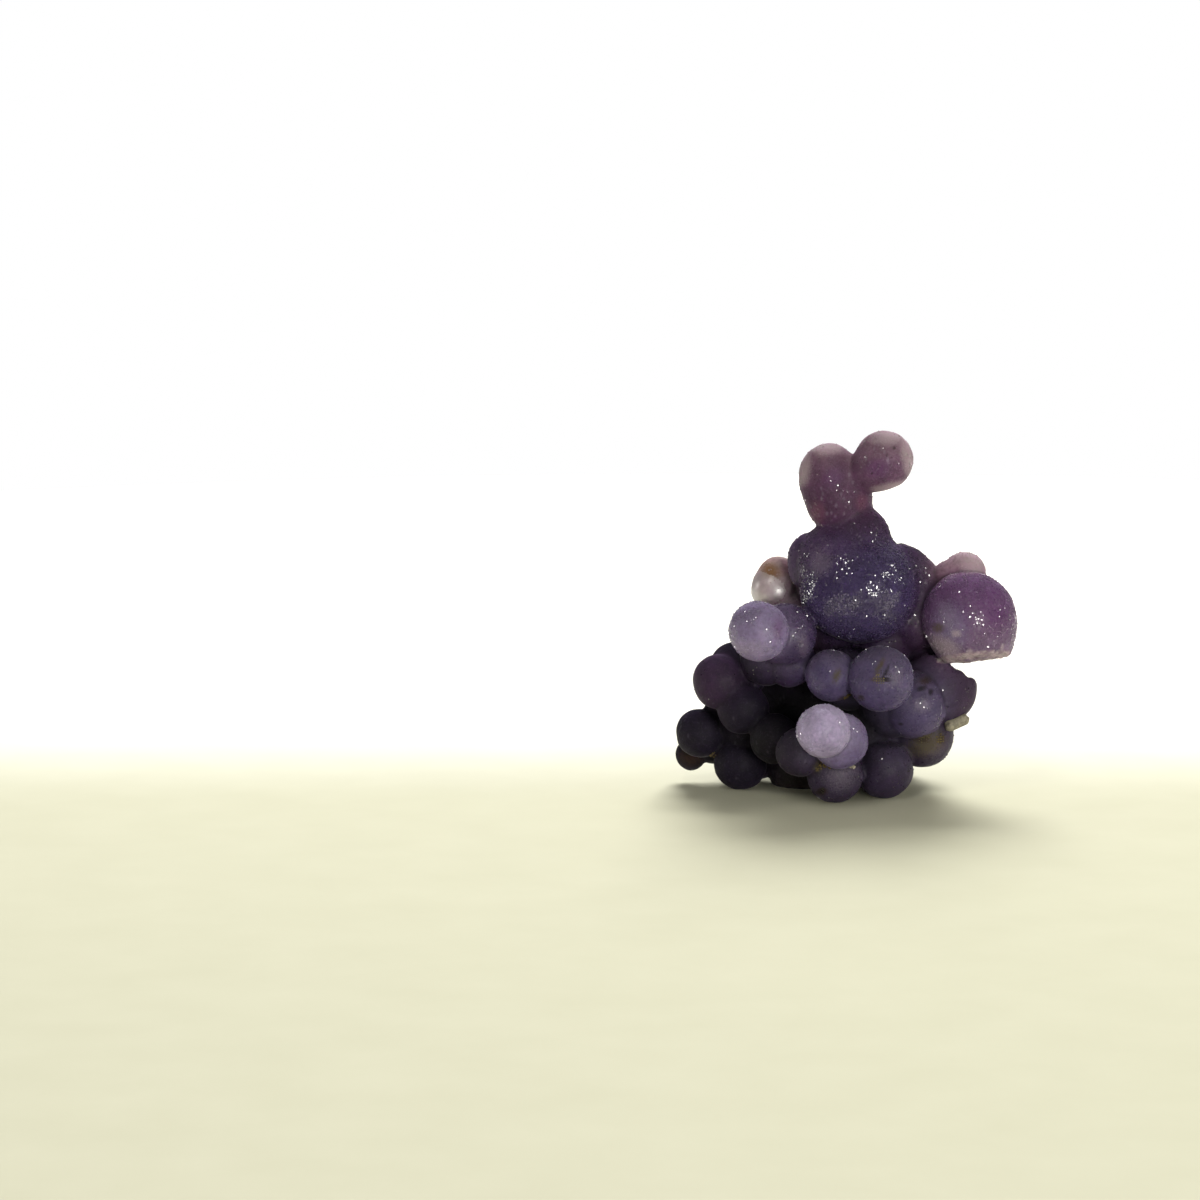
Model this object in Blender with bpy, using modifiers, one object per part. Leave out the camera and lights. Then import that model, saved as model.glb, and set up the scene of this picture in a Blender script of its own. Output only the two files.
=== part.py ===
"""Grape agate: a cluster of purple chalcedony balls that grew together, as one solid.

Frame: metres, +Z up, +X to the right and +Y away from the front. The origin is under the middle of
the cluster, on the surface that it stands on. It rests on its broken root and on its lowest balls.
"""

import math
import random

import bmesh
import bpy
from mathutils import Matrix, Vector

MM = 0.001

# Driving sizes of the cluster, in millimetres
BALL_RADIUS = 3.2  # a common ball, which the balls at the back are sized from
DOME_RADIUS = 6.45  # the largest ball, over the bunch
BUD_RADIUS = 5.55  # the large broken ball at the right
BASE_WEAR = 0.15  # how much of a ball that touches the ground is worn flat

# The balls that show from the front: x, y and z of the centre and the radius, in millimetres
CROWN = {
    "top left": (-2.1, 0.0, 38.7, 3.35),
    "top left, lower half": (-2.0, 0.0, 37.1, 3.45),
    "top right": (4.3, -2.0, 40.2, 3.5),
    "top right, lower half": (2.9, -1.5, 38.9, 2.4),
    "bridge": (0.9, -0.4, 38.0, 2.3),
    "neck left": (-1.5, 0.0, 34.9, 3.25),
    "neck right": (0.0, 0.5, 35.2, 3.2),
}
DOME = {
    "dome": (2.1, -1.0, 24.6, DOME_RADIUS),
    "dome's left lobe": (-0.5, -2.0, 24.3, 5.0),
    "nape left": (-0.9, -0.5, 27.7, 5.0),
    "nape right": (1.6, 0.0, 30.9, 3.65),
    "nape's flank": (2.9, 0.5, 28.4, 3.35),
    "nape bud": (-3.9, 1.0, 28.3, 2.9),
    "nape bud, lower half": (-4.2, 1.0, 26.8, 2.6),
}
SHOULDER = {
    "shoulder": (6.9, 1.0, 26.3, 3.35),
    "shoulder's right ball": (9.1, 1.0, 25.8, 2.3),
    "shoulder's outer ball": (8.8, 1.0, 23.6, 3.2),
    "shoulder's lower ball": (8.5, 1.0, 20.6, 3.9),
    "under the shoulder": (9.8, 1.5, 16.2, 2.2),
    "shoulder's back ball": (6.9, 4.0, 27.8, 1.75),
    "bud's lobe": (12.2, 0.0, 26.2, 1.65),
    "bud's top ball": (14.3, 0.0, 26.4, 2.55),
}
LEFT_SIDE = {
    "stained upper ball": (-7.8, 5.0, 25.3, 2.5),
    "stained lower ball": (-8.3, 4.5, 23.8, 2.8),
    "stained pair's stalk": (-5.6, 4.0, 20.0, 3.4),
    "pair, left": (-10.7, -8.2, 20.6, 3.55),
    "pair, right": (-7.4, -4.3, 19.6, 3.7),
    "under the pair, left": (-9.5, -2.0, 16.2, 3.1),
    "under the pair, right": (-6.7, -3.0, 16.2, 3.1),
}
ROW = {
    "row's left ball": (-1.9, -6.0, 15.0, 3.1),
    "row's middle ball": (3.8, -8.0, 14.9, 3.9),
    "row's right ball": (7.9, -4.0, 11.1, 4.05),
}
LOWER_BUNCH = {
    "low right": (9.3, -1.0, 6.8, 3.85),
    "low middle": (-5.6, -8.0, 6.1, 2.95),
    "low middle, left": (-8.5, -4.0, 7.0, 3.0),
    "left, high": (-15.0, -1.0, 13.4, 3.3),
    "left, behind": (-12.7, 1.5, 14.3, 3.6),
    "left, middle": (-12.2, -2.0, 10.3, 3.1),
    "left, low": (-17.2, 2.0, 6.6, 3.0),
    "left, lowest": (-18.3, 5.0, 3.4, 1.9),
}
FRONT = {
    "front pale ball": (-3.3, -14.0, 9.7, 3.15),
    "behind the front pale ball": (-1.2, -11.0, 8.0, 3.35),
}
FEET = {
    "right foot": (4.6, -4.5, 3.45 - BASE_WEAR, 3.45),
    "front foot": (-1.5, -7.3, 3.35 - BASE_WEAR, 3.35),
    "left foot": (-12.4, 1.0, 3.2 - BASE_WEAR, 3.2),
}

# The balls behind those, which hold them to the middle
STALKS = {
    "front pair's stalk": (-1.0, -8.0, 7.0, 3.2),
    "front foot's stalk": (-1.0, -4.0, 4.5, 3.0),
    "right foot's stalk": (2.5, -1.5, 7.5, 3.4),
    "row's stalk": (0.5, -2.5, 14.0, 3.8),
    "row's right stalk": (5.5, -2.5, 11.0, 4.2),
    "dome's stalk": (4.0, 2.5, 18.5, 5.0),
    "pair's stalk": (-8.5, 0.5, 18.5, 3.6),
    "middle stalk": (-6.5, 0.5, 7.5, 3.0),
    "left stalk": (-11.0, 2.5, 8.0, 4.4),
    "upper left stalk": (-13.5, 3.5, 12.0, 3.9),
    "lowest left stalk": (-15.4, 5.0, 5.2, 2.9),
}

# The broken balls: the ball, then the broken face's outward direction and a point of the face. The
# bud's two balls end in the same face.
BROKEN = {
    "bud": ((14.6, -3.0, 21.4, BUD_RADIUS), (0.08, -0.26, -0.96), (16.6, -3.0, 16.6)),
    "bud, lower half": ((15.2, -3.0, 19.5, 4.95), (0.08, -0.26, -0.96), (16.6, -3.0, 16.6)),
    "right ball": ((11.3, -1.0, 12.6, 4.55), (0.516, 0.15, 0.843), (12.7, -3.5, 15.6)),
}

# The hidden middle, and the root, which broke off flat: centre and half-sizes of each mass
MASSES = {
    "core": ((-1.0, 6.0, 11.0), (10.5, 7.0, 8.5)),
    "upper core": ((2.5, 3.0, 20.5), (7.5, 5.0, 7.0)),
    "root": ((0.5, 5.5, 3.2), (7.0, 5.5, 6.0)),
    "root's left lump": ((-4.5, 3.6, 3.0), (4.6, 4.0, 5.5)),
    "root's back lump": ((3.6, 8.6, 3.0), (4.6, 3.8, 5.5)),
}

# The balls at the back, which follow a rule: the bunch's centre and half-sizes, how many balls a
# whole bunch would have, and the least and largest share of a common ball's radius
BACK_BUNCHES = [
    ((-1.0, 4.5, 10.5), (12.0, 9.5, 8.5), 46, 0.72, 1.28),
    ((2.5, 3.0, 22.5), (6.6, 5.6, 6.0), 26, 0.53, 0.9),
]
BACK_SEED = 11
GOLDEN_ANGLE = math.pi * (3 - math.sqrt(5))
TURN_SPREAD = 0.3  # how unevenly they follow the spiral, in radians
DEPTH_SPREAD = 0.08  # how far they sit off the bunch's own surface, as a share of it
LEAST_BACKWARD = -0.05  # a ball whose direction has less +Y than this is left out

# How fine the joined surface is
BALL_DETAIL = 4  # subdivisions of each ball
JOINING_VOXEL = 0.42
KEPT_SHARE = 0.105  # the share of the joined surface's triangles that the part keeps
GROUND_SIDE = 80.0
GROUND_DEPTH = 10.0

CHALCEDONY_COLOUR = (0.115, 0.085, 0.135, 1.0)
CHALCEDONY_ROUGHNESS = 0.38


def clear_scene():
    for thing in list(bpy.data.objects):
        bpy.data.objects.remove(thing)


def new_collection(name):
    made = bpy.data.collections.new(name)
    bpy.context.scene.collection.children.link(made)
    return made


def chalcedony():
    """Purple, translucent, with a waxy shine."""
    made = bpy.data.materials.new("purple_chalcedony")
    made.use_nodes = True
    shader = made.node_tree.nodes["Principled BSDF"]
    shader.inputs["Base Color"].default_value = CHALCEDONY_COLOUR
    shader.inputs["Roughness"].default_value = CHALCEDONY_ROUGHNESS
    shader.inputs["Metallic"].default_value = 0.0
    return made


def back_balls():
    """Balls over the back of each bunch, on a golden spiral, with seeded uneven sizes."""
    draw = random.Random(BACK_SEED)
    balls = []
    for centre, half_sizes, count, least, largest in BACK_BUNCHES:
        for i in range(count):
            rise = 1 - 2 * (i + 0.5) / count
            turn = i * GOLDEN_ANGLE + draw.uniform(-TURN_SPREAD, TURN_SPREAD)
            radius = BALL_RADIUS * draw.uniform(least, largest)
            depth = 1 + draw.uniform(-DEPTH_SPREAD, DEPTH_SPREAD)
            across = math.sqrt(1 - rise * rise)
            way = (across * math.cos(turn), across * math.sin(turn), rise)
            if way[1] < LEAST_BACKWARD:
                continue
            x, y, z = (c + depth * h * w for c, h, w in zip(centre, half_sizes, way))
            balls.append((x, y, max(z, radius - BASE_WEAR), radius))
    return balls


def whole_balls():
    shown = [CROWN, DOME, SHOULDER, LEFT_SIDE, ROW, LOWER_BUNCH, FRONT, FEET, STALKS]
    return [ball for group in shown for ball in group.values()] + back_balls()


def add_ball(bm, x, y, z, radius):
    place = Matrix.Translation(Vector((x, y, z)) * MM)
    made = bmesh.ops.create_icosphere(
        bm, subdivisions=BALL_DETAIL, radius=radius * MM, matrix=place
    )
    return made["verts"]


def add_broken_ball(bm, ball, outward, point):
    """A ball that ends in a flat broken face."""
    verts = add_ball(bm, *ball)
    faces = {face for vert in verts for face in vert.link_faces}
    edges = {edge for vert in verts for edge in vert.link_edges}
    cut = bmesh.ops.bisect_plane(
        bm,
        geom=[*verts, *edges, *faces],
        dist=1e-7,
        plane_co=Vector(point) * MM,
        plane_no=Vector(outward).normalized(),
        clear_outer=True,
    )
    rim = [part for part in cut["geom_cut"] if isinstance(part, bmesh.types.BMEdge)]
    bmesh.ops.contextual_create(bm, geom=rim)


def add_mass(bm, centre, half_sizes):
    place = Matrix.Translation(Vector(centre) * MM) @ Matrix.Diagonal((*half_sizes, 1.0))
    bmesh.ops.create_icosphere(bm, subdivisions=BALL_DETAIL, radius=MM, matrix=place)


def new_object(name, bm, collection):
    mesh = bpy.data.meshes.new(name)
    bm.to_mesh(mesh)
    bm.free()
    made = bpy.data.objects.new(name, mesh)
    collection.objects.link(made)
    return made


def grown_shapes(collection):
    """All the balls and masses, as one mesh of overlapping closed shapes."""
    bm = bmesh.new()
    for ball in whole_balls():
        add_ball(bm, *ball)
    for ball, outward, point in BROKEN.values():
        add_broken_ball(bm, ball, outward, point)
    for centre, half_sizes in MASSES.values():
        add_mass(bm, centre, half_sizes)
    return new_object("grape_agate", bm, collection)


def ground_cutter(collection):
    """A slab under the ground, which leaves the root and the lowest balls flat."""
    bm = bmesh.new()
    size = Matrix.Diagonal((GROUND_SIDE * MM, GROUND_SIDE * MM, GROUND_DEPTH * MM, 1.0))
    place = Matrix.Translation((0.0, 0.0, -GROUND_DEPTH * MM / 2))
    bmesh.ops.create_cube(bm, size=1.0, matrix=place @ size)
    cutter = new_object("ground_cutter", bm, collection)
    cutter.hide_render = True
    cutter.display_type = "WIRE"
    return cutter


def join(agate, cutter):
    """Joins the overlapping shapes in one skin, thins it and cuts it level with the ground."""
    skin = agate.modifiers.new("joined skin", "REMESH")
    skin.mode = "VOXEL"
    skin.voxel_size = JOINING_VOXEL * MM
    skin.use_smooth_shade = True
    thin = agate.modifiers.new("fewer triangles", "DECIMATE")
    thin.ratio = KEPT_SHARE
    level = agate.modifiers.new("level base", "BOOLEAN")
    level.operation = "DIFFERENCE"
    level.solver = "EXACT"
    level.object = cutter


def main():
    clear_scene()
    agate = grown_shapes(new_collection("grape_agate"))
    agate.data.materials.append(chalcedony())
    join(agate, ground_cutter(new_collection("cutters")))


main()
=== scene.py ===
"""Looks of the grape agate: one skin of joined balls, its quartz druse and the clay in its creases.

The shapes are worked out in millimetres, in the frame of the solid model, and written in metres.
"""

import math
import random

import bmesh
import bpy
import numpy as np
from mathutils import Matrix, Vector, noise

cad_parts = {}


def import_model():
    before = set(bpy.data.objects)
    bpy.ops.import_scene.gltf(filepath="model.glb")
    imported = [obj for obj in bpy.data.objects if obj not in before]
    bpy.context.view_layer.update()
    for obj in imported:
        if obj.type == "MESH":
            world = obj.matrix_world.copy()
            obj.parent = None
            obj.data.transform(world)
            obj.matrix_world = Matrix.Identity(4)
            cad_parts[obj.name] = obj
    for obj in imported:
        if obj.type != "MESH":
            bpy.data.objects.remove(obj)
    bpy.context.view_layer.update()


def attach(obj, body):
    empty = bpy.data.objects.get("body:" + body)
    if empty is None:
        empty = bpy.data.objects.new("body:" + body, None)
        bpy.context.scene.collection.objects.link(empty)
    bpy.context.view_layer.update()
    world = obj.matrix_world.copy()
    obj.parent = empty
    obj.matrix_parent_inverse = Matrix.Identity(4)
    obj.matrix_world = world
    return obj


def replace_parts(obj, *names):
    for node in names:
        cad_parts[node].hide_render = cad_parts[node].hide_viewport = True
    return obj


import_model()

MM = 0.001

# The cluster's driving sizes, as in the solid model
BALL_RADIUS = 3.2
DOME_RADIUS = 6.45
BUD_RADIUS = 5.55
BASE_WEAR = 0.15

# Each look: the colour of a ball's body and of its upper side, its roughness, how frosted it is, and
# how many quartz crystals there are to a square millimetre. The upper side's colour is painted light
# and shade: lighter or darker than the body by how the light falls from above.
LOOKS = {
    "crown": ("#543753", "#7b636c", 0.55, 0.9, 1.5),
    "neck": ("#40203e", "#4a2d45", 0.6, 0.6, 1.5),
    "nape": ("#3c2748", "#402c4b", 0.5, 0.9, 3.5),
    "indigo": ("#3b3052", "#2e2245", 0.45, 0.25, 46.0),
    "shoulder": ("#341f39", "#2e1c33", 0.5, 0.3, 3.0),
    "magenta": ("#5e3f64", "#5a3c61", 0.42, 0.9, 16.0),
    "bud pale": ("#6c5a73", "#6a5c6e", 0.45, 0.9, 10.0),
    "bud top": ("#906e7e", "#9a808b", 0.45, 0.4, 4.0),
    "ash": ("#4d4851", "#5c585f", 0.5, 0.5, 1.5),
    "rose": ("#a3929a", "#9b888d", 0.5, 0.0, 0.0),
    "tan": ("#ad9898", "#9c8580", 0.45, 0.1, 0.5),
    "dim rose": ("#8e7283", "#856e7c", 0.5, 0.2, 1.0),
    "lilac": ("#7f7192", "#6a5e77", 0.4, 0.7, 12.0),
    "plum lilac": ("#392b4a", "#44354e", 0.4, 0.5, 10.0),
    "pale lilac": ("#9b8fac", "#9e92ac", 0.5, 0.9, 9.0),
    "soft lilac": ("#605378", "#6a5c78", 0.45, 0.5, 6.0),
    "violet": ("#4d4265", "#4c4356", 0.45, 0.3, 6.0),
    "dusk": ("#382a47", "#3b304a", 0.5, 0.3, 3.0),
    "dull": ("#2f243b", "#332b3e", 0.55, 0.4, 2.0),
    # Painted shadow: gloom is darkened partly for shade, and night is the low left balls' colour
    # darkened as painted shadow cast from their left
    "gloom": ("#211828", "#241c2a", 0.6, 0.3, 0.3),
    "wine": ("#2d1b34", "#322238", 0.6, 0.2, 0.3),
    "night in painted shadow": ("#120b1c", "#150f1f", 0.7, 0.2, 0.0),
    # Painted shade: shade and deep are near black, for a ball in deep shade and for the stalks, core
    # and hollows where shade falls
    "shade": ("#09060d", "#0c0810", 0.7, 0.2, 0.0),
    "deep": ("#040305", "#060406", 0.9, 0.1, 0.0),
    "root": ("#1c1917", "#3a3430", 0.8, 0.3, 0.0),
}
GLASSY_LOOK = "rose"

# Marks on the skin: each kind's colour, how much of it covers the skin, and how far it breaks up
MARKS = {
    "ochre": ("#4a4224", 0.75, 1.0),
    "rust": ("#2f231a", 0.85, 1.0),
    "soot": ("#0d0a08", 0.88, 0.45),
    "amber": ("#6f4a12", 0.85, 0.3),
    "lilac": ("#6c6384", 0.6, 0.3),
    "blush": ("#75485a", 0.35, 0.3),
    "plum": ("#55285c", 0.5, 0.3),
    "pale": ("#8d828d", 0.25, 1.0),
    # Partly painted light: on the crown these marks lie along the rims as painted glow of light through
    # the thin edges; on the bud they are pale patches
    "haze and rim glow": ("#a8989c", 0.62, 0.5),
}
ZONES = ("lilac", "plum", "blush", "pale", "haze and rim glow")
DIRT = ("ochre", "rust", "soot")

# The colours of the bud's broken face, of the frosted dots, and of the painted shade in the creases
CRUST = ("#9f9193", "#7a6b72")
FROST = "#938999"
CREASE_SHADE = "#0d080d"

# Every ball that shows: x, y and z of its centre, its radius, and its look
CROWN = {
    "top left": (-2.1, 0.0, 38.7, 3.35, "crown"),
    "top left, lower half": (-2.0, 0.0, 37.1, 3.45, "neck"),
    "bridge": (0.9, -0.4, 38.0, 2.3, "neck"),
    "neck left": (-1.5, 0.0, 34.9, 3.25, "neck"),
    "neck right": (0.0, 0.5, 35.2, 3.2, "neck"),
    "dome": (2.1, -1.0, 24.6, DOME_RADIUS, "indigo"),
    "dome's left lobe": (-0.5, -2.0, 24.3, 5.0, "indigo"),
    "nape left": (-0.9, -0.5, 27.7, 5.0, "nape"),
    "nape right": (1.6, 0.0, 30.9, 3.65, "shoulder"),
    "nape's flank": (2.9, 0.5, 28.4, 3.35, "nape"),
    "shoulder": (6.9, 1.0, 26.3, 3.35, "shoulder"),
    "shoulder's right ball": (9.1, 1.0, 25.8, 2.3, "shoulder"),
    "shoulder's outer ball": (8.8, 1.0, 23.6, 3.2, "shoulder"),
    "shoulder's lower ball": (8.5, 1.0, 20.6, 3.9, "shoulder"),
    "top right": (4.3, -2.0, 40.2, 3.5, "crown"),
    "top right, lower half": (2.9, -1.5, 38.9, 2.4, "crown"),
}
NAPE_BUD = {
    "nape bud": (-3.9, 1.0, 28.3, 2.9, "nape"),
    "nape bud, lower half": (-4.2, 1.0, 26.8, 2.6, "nape"),
}
BUD_TOP = {
    "bud's lobe": (12.2, 0.0, 26.2, 1.65, "bud top"),
    "bud's top ball": (14.3, 0.0, 26.4, 2.55, "bud top"),
}
STAINED_PAIR = {
    "stained upper ball": (-7.8, 5.0, 25.3, 2.5, "tan"),
    "stained lower ball": (-8.3, 4.5, 23.8, 2.8, "rose"),
    "stained pair's stalk": (-5.6, 4.0, 20.0, 3.4, "dim rose"),
}
SINGLE = {
    "under the shoulder": (9.8, 1.5, 16.2, 2.2, "deep"),
    "shoulder's back ball": (6.9, 4.0, 27.8, 1.75, "ash"),
    "pair, left": (-10.7, -8.2, 20.6, 3.55, "lilac"),
    "pair, right": (-7.4, -4.3, 19.6, 3.7, "plum lilac"),
    "under the pair, left": (-9.5, -2.0, 16.2, 3.1, "night in painted shadow"),
    "under the pair, right": (-6.7, -3.0, 16.2, 3.1, "dusk"),
    "row's left ball": (-1.9, -6.0, 15.0, 3.1, "violet"),
    "row's middle ball": (3.8, -8.0, 14.9, 3.9, "violet"),
    "row's right ball": (7.9, -4.0, 11.1, 4.05, "violet"),
    "low right": (9.3, -1.0, 6.8, 3.85, "dull"),
    "low middle": (-5.6, -8.0, 6.1, 2.95, "gloom"),
    "low middle, left": (-8.5, -4.0, 7.0, 3.0, "shade"),
    "left, high": (-15.0, -1.0, 13.4, 3.3, "wine"),
    "left, behind": (-12.7, 1.5, 14.3, 3.6, "night in painted shadow"),
    "left, middle": (-12.2, -2.0, 10.3, 3.1, "night in painted shadow"),
    "left, low": (-17.2, 2.0, 6.6, 3.0, "night in painted shadow"),
    "left, lowest": (-18.3, 5.0, 3.4, 1.9, "night in painted shadow"),
    "front pale ball": (-3.3, -14.0, 9.7, 3.15, "pale lilac"),
    "behind the front pale ball": (-1.2, -11.0, 8.0, 3.35, "soft lilac"),
    "right foot": (4.6, -4.5, 3.45 - BASE_WEAR, 3.45, "dull"),
    "front foot": (-1.5, -7.3, 3.35 - BASE_WEAR, 3.35, "dull"),
    "left foot": (-12.4, 1.0, 3.2 - BASE_WEAR, 3.2, "night in painted shadow"),
}
STALKS = {
    "front pair's stalk": (-1.0, -8.0, 7.0, 3.2, "deep"),
    "front foot's stalk": (-1.0, -4.0, 4.5, 3.0, "deep"),
    "right foot's stalk": (2.5, -1.5, 7.5, 3.4, "deep"),
    "row's stalk": (0.5, -2.5, 14.0, 3.8, "deep"),
    "row's right stalk": (5.5, -2.5, 11.0, 4.2, "deep"),
    "dome's stalk": (4.0, 2.5, 18.5, 5.0, "wine"),
    "pair's stalk": (-8.5, 0.5, 18.5, 3.6, "night in painted shadow"),
    "middle stalk": (-6.5, 0.5, 7.5, 3.0, "deep"),
    "left stalk": (-11.0, 2.5, 8.0, 4.4, "deep"),
    "upper left stalk": (-13.5, 3.5, 12.0, 3.9, "deep"),
    "lowest left stalk": (-15.4, 5.0, 5.2, 2.9, "deep"),
}

# The broken balls: the ball, then the broken face's outward direction and a point of the face
BROKEN_BUD = {
    "bud": ((14.6, -3.0, 21.4, BUD_RADIUS, "magenta"), (0.08, -0.26, -0.96), (16.6, -3.0, 16.6)),
    "bud, lower half": ((15.2, -3.0, 19.5, 4.95, "bud pale"), (0.08, -0.26, -0.96), (16.6, -3.0, 16.6)),
}
BROKEN_RIGHT = {
    "right ball": ((11.3, -1.0, 12.6, 4.55, "wine"), (0.516, 0.15, 0.843), (12.7, -3.5, 15.6)),
}
MASSES = {
    "core": ((-1.0, 6.0, 11.0), (10.5, 7.0, 8.5), "deep"),
    "upper core": ((2.5, 3.0, 20.5), (7.5, 5.0, 7.0), "shoulder"),
    "root": ((0.5, 5.5, 3.2), (7.0, 5.5, 6.0), "root"),
    "root's left lump": ((-4.5, 3.6, 3.0), (4.6, 4.0, 5.5), "root"),
    "root's back lump": ((3.6, 8.6, 3.0), (4.6, 3.8, 5.5), "root"),
}

# The balls at the back, by the solid model's rule
BACK_BUNCHES = [
    ((-1.0, 4.5, 10.5), (12.0, 9.5, 8.5), 46, 0.72, 1.28),
    ((2.5, 3.0, 22.5), (6.6, 5.6, 6.0), 26, 0.53, 0.9),
]
BACK_SEED = 11
BACK_LOOKS = ["dusk", "dull", "dusk", "violet", "dull"]
GOLDEN_ANGLE = math.pi * (3 - math.sqrt(5))
TURN_SPREAD = 0.3
DEPTH_SPREAD = 0.08
LEAST_BACKWARD = -0.05

# How softly the balls run into each other, in millimetres: inside a soft group, in the bud and
# elsewhere, then how softly their colours do, and how wide a crease's painted shade is
SOFT_GROUPS = [
    (CROWN, 0.32),
    (NAPE_BUD, 0.35),
    (BUD_TOP, 0.3),
    (STAINED_PAIR, 0.2),
]
BUD_SOFTNESS = 0.35
CREASE_SOFTNESS = 0.1
COLOUR_SOFTNESS = 0.75
CREASE_REACH = 0.3

# Marks: the ball, how far right of and above its middle as seen from the front, half-width,
# half-height, turn in degrees, and kind. A mark fades out behind its ball's middle, over this many
# millimetres, and where the ball's share in the colour comes near the least that shows it
FADE_BEHIND = 3.0
LEAST_SHARE = 0.05
SHARE_FADE = 0.35
MARK_SHARPNESS = 0.7
PLACED_MARKS = [
    ("top left", 0.6, -1.6, 1.5, 2.2, 0, "plum"),
    # Painted light: pale glow along the crown's rims
    ("top left", -3.2, 0.2, 0.85, 2.9, -10, "haze and rim glow"),
    ("top left", -0.6, 3.0, 2.4, 0.8, 0, "haze and rim glow"),
    ("top right", -0.9, -0.7, 1.5, 1.2, 20, "plum"),
    ("top right", 2.9, 0.6, 1.0, 2.8, 10, "haze and rim glow"),
    ("top right", 0.6, -3.1, 2.6, 0.7, 12, "haze and rim glow"),
    ("top right", 0.3, 2.9, 2.0, 0.8, 0, "haze and rim glow"),
    ("bud's top ball", 0.8, 1.4, 2.2, 1.2, -20, "haze and rim glow"),
    ("neck left", -2.1, -1.0, 1.0, 1.6, 0, "blush"),
    ("neck right", 1.7, 0.2, 0.8, 1.3, 0, "blush"),
    ("nape left", -2.3, 0.3, 1.3, 2.2, 0, "pale"),
    ("bud", -2.7, -0.6, 2.2, 3.0, 0, "lilac"),
    ("bud", 2.6, 1.2, 1.9, 2.6, 0, "plum"),
    ("bud", -2.9, 0.8, 1.2, 1.8, 20, "pale"),
    ("bud", -3.3, -2.9, 2.0, 1.4, -30, "haze and rim glow"),
    ("bud", -4.0, -0.6, 0.7, 0.6, 0, "ochre"),
    ("bud's top ball", -2.2, -1.6, 1.4, 0.8, 0, "blush"),
    ("bud", -0.3, -3.3, 0.35, 0.45, 0, "haze and rim glow"),
    ("bud", 3.6, -3.0, 0.25, 0.55, 0, "haze and rim glow"),
    ("bud", -2.0, -1.1, 0.6, 0.5, 0, "haze and rim glow"),
    # Painted light and shade: the pale mark brightens the pair's left ball low in front, and the plum
    # mark darkens it high on the right, to round it
    ("pair, left", -0.7, -1.7, 2.2, 1.1, 0, "pale"),
    ("pair, left", 2.2, 0.6, 0.7, 1.4, 0, "plum"),
    ("pair, right", 2.1, -1.0, 0.7, 1.7, 10, "pale"),
    ("row's middle ball", -0.5, 0.45, 1.1, 0.3, 0, "ochre"),
    ("row's middle ball", 0.35, 0.5, 0.75, 0.26, -8, "soot"),
    ("row's middle ball", 0.35, 1.45, 0.18, 1.0, -28, "soot"),
    ("row's middle ball", -0.4, 2.0, 0.35, 1.1, -32, "ochre"),
    ("row's middle ball", -2.5, -1.9, 0.4, 0.4, 0, "rust"),
    ("row's middle ball", 1.6, 0.7, 0.9, 1.1, 0, "pale"),
    ("row's left ball", 0.4, 0.4, 0.45, 0.9, -25, "ochre"),
    ("row's left ball", 1.3, -2.7, 0.7, 0.5, 0, "rust"),
    ("row's right ball", 0.8, 2.45, 0.7, 0.3, 10, "soot"),
    ("row's right ball", 1.9, 2.0, 0.35, 0.4, 0, "soot"),
    ("row's right ball", 1.3, 3.2, 0.8, 0.4, 0, "rust"),
    ("row's right ball", -1.6, -1.8, 0.3, 0.22, 0, "soot"),
    ("row's right ball", 0.9, 0.6, 1.1, 0.9, 0, "pale"),
    ("low right", -0.7, 0.5, 1.3, 0.6, -15, "rust"),
    ("low right", 0.1, 1.2, 1.0, 0.3, -10, "soot"),
    ("low right", 0.3, -0.4, 2.4, 1.5, 20, "ochre"),
    ("low right", 2.1, 0.3, 0.4, 0.8, 15, "rust"),
    ("low right", 1.0, -0.4, 1.6, 1.5, 0, "pale"),
    ("low right", -1.2, 0.6, 0.7, 0.3, 15, "soot"),
    ("front foot", -1.7, -1.6, 0.8, 0.5, 20, "rust"),
    ("front foot", -1.7, -1.5, 0.5, 0.35, 30, "soot"),
    ("front foot", -1.2, 2.6, 1.5, 0.5, 0, "rust"),
    ("front foot", 0.4, 0.4, 2.0, 1.9, 0, "pale"),
    ("low middle", 2.2, -1.5, 0.8, 0.9, 0, "ochre"),
    ("stained upper ball", -1.0, 1.0, 1.3, 0.9, -20, "amber"),
    ("stained upper ball", 0.9, 1.2, 0.9, 1.0, 0, "blush"),
    ("top right", 1.05, 1.75, 0.17, 0.17, 0, "soot"),
    ("top right", 0.1, 0.9, 0.15, 0.15, 0, "soot"),
    ("top right", -1.6, -1.25, 0.13, 0.13, 0, "soot"),
    ("left, low", 2.4, -2.4, 0.6, 0.5, 0, "rust"),
    ("left, lowest", 0.0, 0.0, 1.6, 1.2, 0, "rust"),
]

# Clay and limonite grains: the ball, how far right of and above its middle they lie, how far they
# spread, how many, their size, and their colour
GRAINS = [
    ("low middle", 2.3, -1.5, 0.9, 46, 0.18, "#6a5830"),
    ("front pair's stalk", -1.6, -1.6, 0.9, 40, 0.2, "#5c4b26"),
    ("front foot", 1.7, 1.6, 0.35, 7, 0.3, "#a39a88"),
    ("left, low", 1.6, -2.3, 0.6, 16, 0.2, "#4a3d22"),
    ("row's left ball", 1.8, -2.4, 0.6, 30, 0.17, "#5a4a22"),
    ("row's middle ball", -0.5, 0.45, 0.7, 44, 0.1, "#6f6234"),
    ("row's middle ball", 0.3, 1.2, 0.7, 40, 0.09, "#1e1910"),
    ("low right", 0.0, 0.8, 1.0, 40, 0.13, "#4f452a"),
    ("low right", 1.9, 0.2, 0.6, 22, 0.14, "#6b5c30"),
    ("front foot", -1.6, -1.4, 0.4, 16, 0.15, "#2e2619"),
]

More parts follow.
